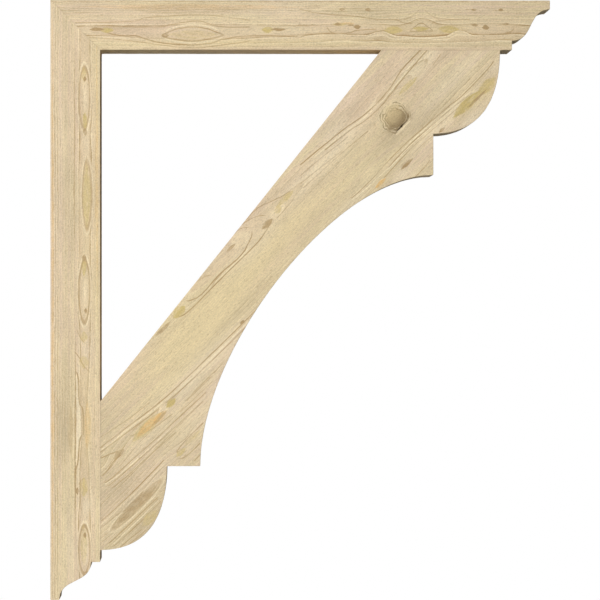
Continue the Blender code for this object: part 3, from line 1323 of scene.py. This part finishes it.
def drawn_lines(tree, entries, place, grain_angle):
    """The strongest of a board's drawn lines at each point."""
    total = 0.0
    for entry in entries:
        total = calc(tree, "MAXIMUM", total, drawn_line(tree, entry, place, grain_angle))
    return total


# %% [markdown]
# The knot is a cut through a branch, so it has close rings of its own, which show best at its rim,
# and it is painted darker beside the crack. Its upper side melts into the board, where the branch
# grew into the trunk.

# %% The knot's paint
def knot_paint(tree, place, colour):
    """The board's colour with the knot painted over it."""
    distance, off_across = knot_distance(tree, *place)
    waves = centred(tree, noise(tree, vector(tree, *place), 0.14, 3.0), 0.5)
    ragged_distance = calc(tree, "ADD", distance, waves)
    edge = knot_edge(tree, ragged_distance, off_across)

    within = ramp(tree, edge, 1.1, 0.75)
    inside = calc(tree, "MULTIPLY", within, ramp(tree, off_across, -16.0, -2.0, 0.35, 0.95))
    warped_across = calc(tree, "MULTIPLY_ADD", waves, 14.0, off_across)
    body = mixed(tree, ramp(tree, warped_across, -4.0, KNOT["crack_side"]), KNOT_OLIVE, KNOT_BROWN)
    colour = mixed(tree, inside, colour, body)
    shade = add_spots(tree, SWELLING, BRACE["knot_shade"], BRACE["grain_angle"], place, PAINT_REACH)
    above_crack = ramp(tree, off_across, KNOT["crack_side"] + 0.6, KNOT["crack_side"] - 0.2)
    shade = calc(tree, "MULTIPLY", shade, above_crack)
    colour = mixed(tree, calc(tree, "MULTIPLY", shade, 0.75, clamp=True), colour, KNOT_LINE)

    ring_count = KNOT["radius"] / KNOT["ring_width"]
    arcs = ring_line(tree, calc(tree, "MULTIPLY", ragged_distance, ring_count), 1.6, 0.2)
    on_knot = ramp(tree, edge, 1.25, 1.05)
    shown = calc(tree, "MULTIPLY", on_knot, ramp(tree, ragged_distance, 0.2, 0.85, 0.1, 0.95))
    some = ramp(tree, noise(tree, vector(tree, *place), 0.12, 1.0), 0.38, 0.56, 0.15, 1.0)
    colour = mixed(tree, calc(tree, "MULTIPLY", calc(tree, "MULTIPLY", arcs, shown), some), colour, KNOT_LINE)
    pale_arcs = ring_line(tree, calc(tree, "MULTIPLY_ADD", ragged_distance, ring_count, 0.5), 3.0, 0.0)
    near_rim = calc(tree, "MULTIPLY", ramp(tree, distance, 0.6, 0.8), ramp(tree, edge, 1.25, 1.1))
    pale_rim = calc(tree, "MULTIPLY", pale_arcs, near_rim)
    pale_share = calc(tree, "MULTIPLY", pale_rim, calc(tree, "MULTIPLY", some, 0.8))
    return mixed(tree, pale_share, colour, SPRING_CREAM)


# %% [markdown]
# All the layers now go on in order: the ground colours, the soft changes of tone, the rings, the
# knot, the stains and the crack's painted shade with their ragged edges, and last the grit and
# fibres of the sawn surface.

# %% The paint
def bare_fir(board):
    """Rough-sawn fir with the grain turned to suit one board."""
    material = bpy.data.materials.new(board["piece"] + "_fir")
    material.use_nodes = True
    tree = material.node_tree
    shader = tree.nodes["Principled BSDF"]
    place = paint_place(tree, board)
    along, across, deep = place

    def stretched(length_share):
        return vector(tree, calc(tree, "MULTIPLY_ADD", along, length_share, board["seed"]), across, deep)

    rings = stored(tree, "rings")
    clearness = clearness_of(tree, board, place)
    line = line_strength(tree, rings, clearness, stretched)
    hue_luck = centred(tree, ring_luck(tree, rings, 0.7), 0.7)
    tone = calc(tree, "ADD", noise(tree, stretched(0.3), 0.03, 2.0), calc(tree, "MULTIPLY", hue_luck, 0.35))
    second_tone = noise(tree, stretched(0.12), 0.09, 2.0)
    colour = mixed(tree, ramp(tree, tone, 0.3, 0.68), PINK_STRAW, STRAW)
    colour = mixed(tree, ramp(tree, second_tone, 0.5, 0.75, 0.0, 0.5), colour, GREY_STRAW)
    for name, spots in board["tones"].items():
        share = add_spots(tree, SWELLING, spots, board["grain_angle"], place, PAINT_REACH)
        colour = mixed(tree, share, colour, TONE_COLOURS[name])
    early = squared(tree, ramp(tree, calc(tree, "FRACT", rings), 0.35, 0.0))
    early_share = calc(tree, "MULTIPLY", early, calc(tree, "MULTIPLY_ADD", clearness, 0.5, 0.1), clamp=True)
    colour = mixed(tree, early_share, colour, SPRING_CREAM)
    colour = mixed(tree, line, colour, SUMMER_BROWN)
    if board is BRACE:
        colour = knot_paint(tree, place, colour)

    ripple = centred(tree, noise(tree, stretched(0.12), 0.2, 2.0), 2.2)
    ragged = centred(tree, noise(tree, stretched(0.3), 0.5, 2.0), 1.6)
    rippled = (along, calc(tree, "ADD", calc(tree, "ADD", across, ripple), ragged), deep)
    blotch = ramp(tree, noise(tree, stretched(0.4), 0.3, 2.0), 0.3, 0.6, 0.7, 1.5)
    faded = ramp(tree, noise(tree, stretched(0.25), 0.12, 2.0), 0.3, 0.6, 0.6, 1.15)
    sway = calc(tree, "ADD", calc(tree, "MULTIPLY", ripple, 0.5), calc(tree, "MULTIPLY", ragged, 0.35))
    swayed = (along, calc(tree, "ADD", across, sway), deep)
    for name, line_colour in LINE_COLOURS.items():
        loops = add_spots(tree, LOOP, board["loops"].get(name, []), board["grain_angle"], swayed, PAINT_REACH)
        lines = drawn_lines(tree, board["lines"].get(name, []), swayed, board["grain_angle"])
        share = calc(tree, "MULTIPLY", calc(tree, "MAXIMUM", loops, lines), faded, clamp=True)
        colour = mixed(tree, share, colour, line_colour)
    # Stains go on as patches. The crack's near-black patch is painted shade inside its groove, not a stain.
    for name, spots in board["stains_and_painted_shade"].items():
        share = add_spots(tree, PATCH, spots, board["grain_angle"], rippled, PAINT_REACH)
        colour = mixed(tree, calc(tree, "MULTIPLY", share, blotch, clamp=True), colour, STAIN_AND_PAINTED_SHADE_COLOURS[name])

    fibres = noise(tree, stretched(0.06), 1.2, 2.0)
    speckle = noise(tree, stretched(0.7), 0.9, 2.0, 0.6)
    pores = ramp(tree, noise(tree, stretched(0.3), 0.8, 1.0), 0.58, 0.72, 0.0, 0.4)
    cloud = noise(tree, stretched(0.25), 0.08, 2.0)
    colour = mixed(tree, pores, colour, PORE_BROWN)
    fibre_shade = ramp(tree, fibres, 0.3, 0.7, -0.05, 0.05)
    shade = calc(tree, "ADD", fibre_shade, ramp(tree, speckle, 0.3, 0.7, -0.1, 0.1))
    shade = calc(tree, "ADD", shade, ramp(tree, cloud, 0.3, 0.7, -0.05, 0.05))
    brightness = calc(tree, "ADD", shade, 1.0)
    shaded = add_node(tree, "ShaderNodeHueSaturation", {"Value": brightness, "Color": colour})
    feed(tree, shader.inputs["Base Color"], shaded.outputs["Color"])

    speckled = ramp(tree, speckle, 0.2, 0.8, 0.72, 0.86)
    roughness = calc(tree, "ADD", speckled, calc(tree, "MULTIPLY", line, -0.12))
    feed(tree, shader.inputs["Roughness"], roughness)
    shader.inputs["Specular IOR Level"].default_value = 0.25

    height = calc(tree, "ADD", calc(tree, "MULTIPLY", line, 0.5), calc(tree, "ADD", fibres, speckle))
    bump = add_node(tree, "ShaderNodeBump", {"Height": height, "Strength": 0.35, "Distance": 0.0003})
    feed(tree, shader.inputs["Normal"], bump.outputs["Normal"])
    return material


# %% [markdown]
# Each board is now its mesh, its tree and its paint put together. The modifier's inputs are set
# before the board is first evaluated, and its result is kept as a plain mesh, because the modifier
# isn't needed after that.

# %% Saw the boards
SMOOTH_UP_TO = radians(35)


def growth_sizes(board, finish):
    """The named inputs of the growth tree for one board."""
    pith_across = along_and_across(from_photo(*board["pith"]), board["grain_angle"])[1] / MM
    return {
        "Grain angle": board["grain_angle"],
        "Pith across": pith_across,
        "Pith in front": board["pith_in_front"],
        "Ring width": board["ring_width"],
        "Ring crowding": board["crowding"],
        "First ring": board["first_ring"],
        "Springwood wear": 0.10,
        "Saw mark depth": 0.10,
        "Fuzz depth": 0.12,
        "Seed": board["seed"],
        "Finish": finish,
    }


def saw_board(board):
    """One finished board that stands for its solid."""
    neighbours = [outline for name, outline in OUTLINES.items() if name != board["node"]]
    outline = closed_up(OUTLINES[board["node"]], neighbours, board["closing"])
    blank = board_mesh(board["piece"], outline, neighbours, board["grain_angle"])
    piece = bpy.data.objects.new(board["piece"], blank)
    bpy.context.scene.collection.objects.link(piece)

    growth = piece.modifiers.new("growth", "NODES")
    growth.node_group = growth_tree(board)
    sizes = growth_sizes(board, bare_fir(board))
    for item in growth.node_group.interface.items_tree:
        if item.in_out == "INPUT" and item.name in sizes:
            growth[item.identifier] = sizes[item.name]

    depsgraph = bpy.context.evaluated_depsgraph_get()
    evaluated = piece.evaluated_get(depsgraph)
    finished = bpy.data.meshes.new_from_object(evaluated, preserve_all_data_layers=True, depsgraph=depsgraph)
    piece.modifiers.remove(growth)
    piece.data = finished
    piece.data.polygons.foreach_set("use_smooth", [True] * len(finished.polygons))
    piece.data.set_sharp_from_angle(angle=SMOOTH_UP_TO)

    triangles = sum(len(polygon.vertices) - 2 for polygon in finished.polygons)
    rings = [entry.value for entry in finished.attributes["rings"].data]
    print(board["piece"], triangles, "triangles, rings", round(min(rings), 1), "to", round(max(rings), 1))
    return piece


for board in BOARDS:
    piece = saw_board(board)
    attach(piece, "root")
    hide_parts(board["node"])

# %% [markdown]
# The photograph was taken from far away with a long lens, almost straight on. Its depth lines meet
# a little to the left of its middle, which is where the camera stands, and the camera is turned to
# bring the bracket into frame.

# %% The camera
VANISHING_POINT = (203, 307)
FRAME_CENTRE = (300, 300)
CAMERA_DISTANCE = 5.33
FRONT = -BRACKET_WIDTH / 2

standpoint = from_photo(*VANISHING_POINT)
target = from_photo(*FRAME_CENTRE)
camera_data = bpy.data.cameras.new("camera")
camera = bpy.data.objects.new("camera", camera_data)
bpy.context.scene.collection.objects.link(camera)
camera.location = (standpoint.x, FRONT - CAMERA_DISTANCE, standpoint.y)
sight_line = Vector((target.x, FRONT, target.y)) - camera.location
camera.rotation_euler = sight_line.to_track_quat("-Z", "Y").to_euler()
camera_data.lens = camera_data.sensor_width * sight_line.length / BRACKET_HEIGHT
bpy.context.scene.camera = camera
print("lens:", round(camera_data.lens, 1), "mm")

# %% [markdown]
# The light comes from large soft sources in front and to the upper left, so the front face is
# bright and even while the undersides and the sides that face right fall into shade. The room
# itself is plain white.

# %% Lights and room
def soft_light(name, place, size, power):
    """A large square light aimed at the middle of the bracket."""
    data = bpy.data.lights.new(name, "AREA")
    data.size = size
    data.energy = power
    light = bpy.data.objects.new(name, data)
    bpy.context.scene.collection.objects.link(light)
    light.location = place
    middle = (cad_box[0] + cad_box[1]) / 2
    light.rotation_euler = (middle - light.location).to_track_quat("-Z", "Y").to_euler()
    return light


soft_light("key", Vector((-1.3, -3.0, 0.8)), 1.6, 117.0)
soft_light("fill", Vector((0.5, -3.0, 0.4)), 2.0, 1.0)
soft_light("back", Vector((-1.2, 2.9, 0.5)), 1.8, 45.0)

world = bpy.data.worlds.new("white_room")
world.use_nodes = True
room = world.node_tree
surroundings = room.nodes["Background"]
surroundings.inputs["Color"].default_value = (1.0, 1.0, 1.0, 1.0)
seen_by_camera = add_node(room, "ShaderNodeLightPath").outputs["Is Camera Ray"]
feed(room, surroundings.inputs["Strength"], ramp(room, seen_by_camera, 0.0, 1.0, 0.02, 1.0))
bpy.context.scene.world = world
bpy.context.scene.view_settings.view_transform = "Standard"

# %% [markdown]
# A pale floor lies below the bracket, far enough down to stay out of the photograph's frame.

# %% The floor
FLOOR_DROP = 0.5
FLOOR_RADIUS = 1.4

floor_mesh = bmesh.new()
bmesh.ops.create_circle(floor_mesh, cap_ends=True, segments=96, radius=FLOOR_RADIUS)
floor_level = cad_box[0].z - FLOOR_DROP
floor_middle = ((cad_box[0].x + cad_box[1].x) / 2, 0.0, floor_level)
bmesh.ops.translate(floor_mesh, verts=floor_mesh.verts, vec=floor_middle)
floor_data = bpy.data.meshes.new("floor")
floor_mesh.to_mesh(floor_data)
floor_mesh.free()
floor = bpy.data.objects.new("floor", floor_data)
bpy.context.scene.collection.objects.link(floor)
floor_paint = bpy.data.materials.new("floor_paint")
floor_paint.use_nodes = True
floor_paint.node_tree.nodes["Principled BSDF"].inputs["Base Color"].default_value = (0.85, 0.85, 0.84, 1.0)
floor_paint.node_tree.nodes["Principled BSDF"].inputs["Roughness"].default_value = 0.9
floor_data.materials.append(floor_paint)
